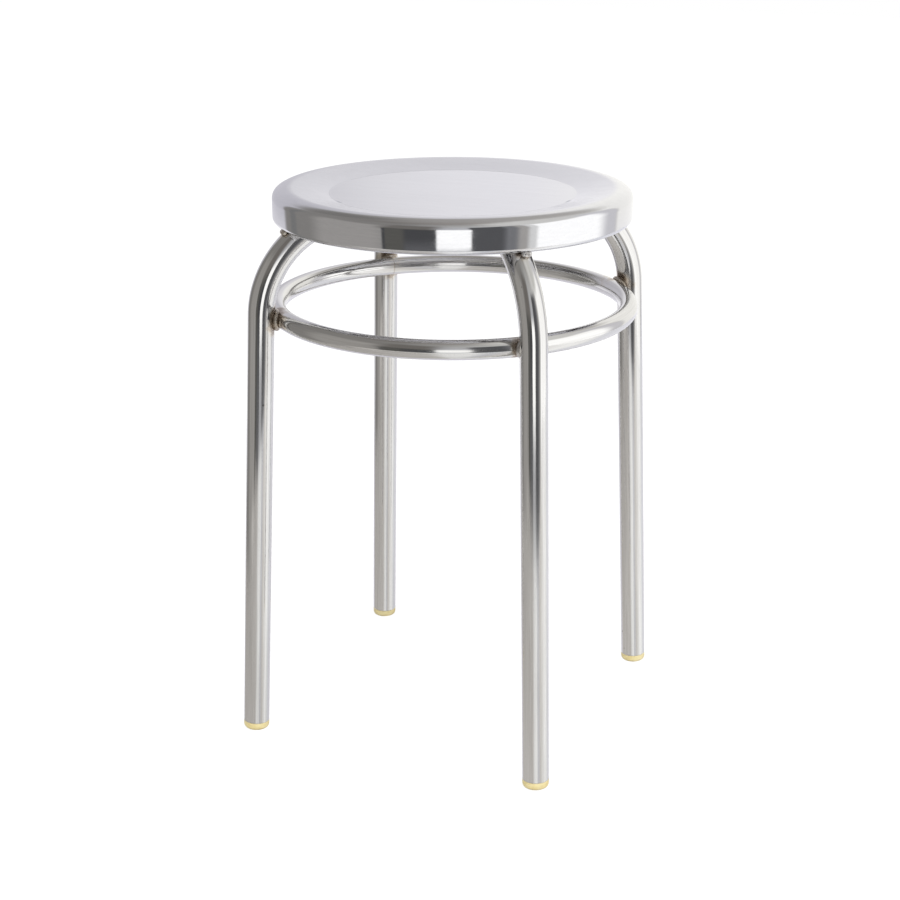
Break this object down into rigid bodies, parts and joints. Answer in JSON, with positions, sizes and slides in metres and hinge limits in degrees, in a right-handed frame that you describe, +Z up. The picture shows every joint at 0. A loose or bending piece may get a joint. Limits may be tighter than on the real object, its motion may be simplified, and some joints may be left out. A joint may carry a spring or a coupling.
{
  "type": "stool",
  "caption": "Backless round steel stool: dished seat pan with a rolled hem on splayed, bent tube legs, braced by a tube ring, with plastic foot plugs.",
  "frame": {"origin": "on the floor, under the middle of the seat", "axes": "+Z up, legs on the diagonals between the X and Y axes"},
  "size_m": [0.3142, 0.3142, 0.4665],
  "materials": {
    "seat": "polished stainless steel sheet",
    "tube": "polished stainless steel tube",
    "weld": "stainless weld bead, lightly heat tinted",
    "plug": "pale yellow moulded plastic"
  },
  "bodies": {
    "root": {"seat_pan": "seat", "leg_front_right": "tube", "leg_back_right": "tube", "leg_back_left": "tube", "leg_front_left": "tube", "support_ring": "tube", "foot_plug_front_right": "plug", "foot_plug_back_right": "plug", "foot_plug_back_left": "plug", "foot_plug_front_left": "plug", "ring_butt_weld": "weld", "hub_weld": "weld", "ring_weld_front_right": "weld", "rim_weld_front_right": "weld", "seat_weld_front_right_1": "weld", "seat_weld_front_right_2": "weld", "ring_weld_back_right": "weld", "rim_weld_back_right": "weld", "seat_weld_back_right_1": "weld", "seat_weld_back_right_2": "weld", "ring_weld_back_left": "weld", "rim_weld_back_left": "weld", "seat_weld_back_left_1": "weld", "seat_weld_back_left_2": "weld", "ring_weld_front_left": "weld", "rim_weld_front_left": "weld", "seat_weld_front_left_1": "weld", "seat_weld_front_left_2": "weld"}
  },
  "joints": []
}
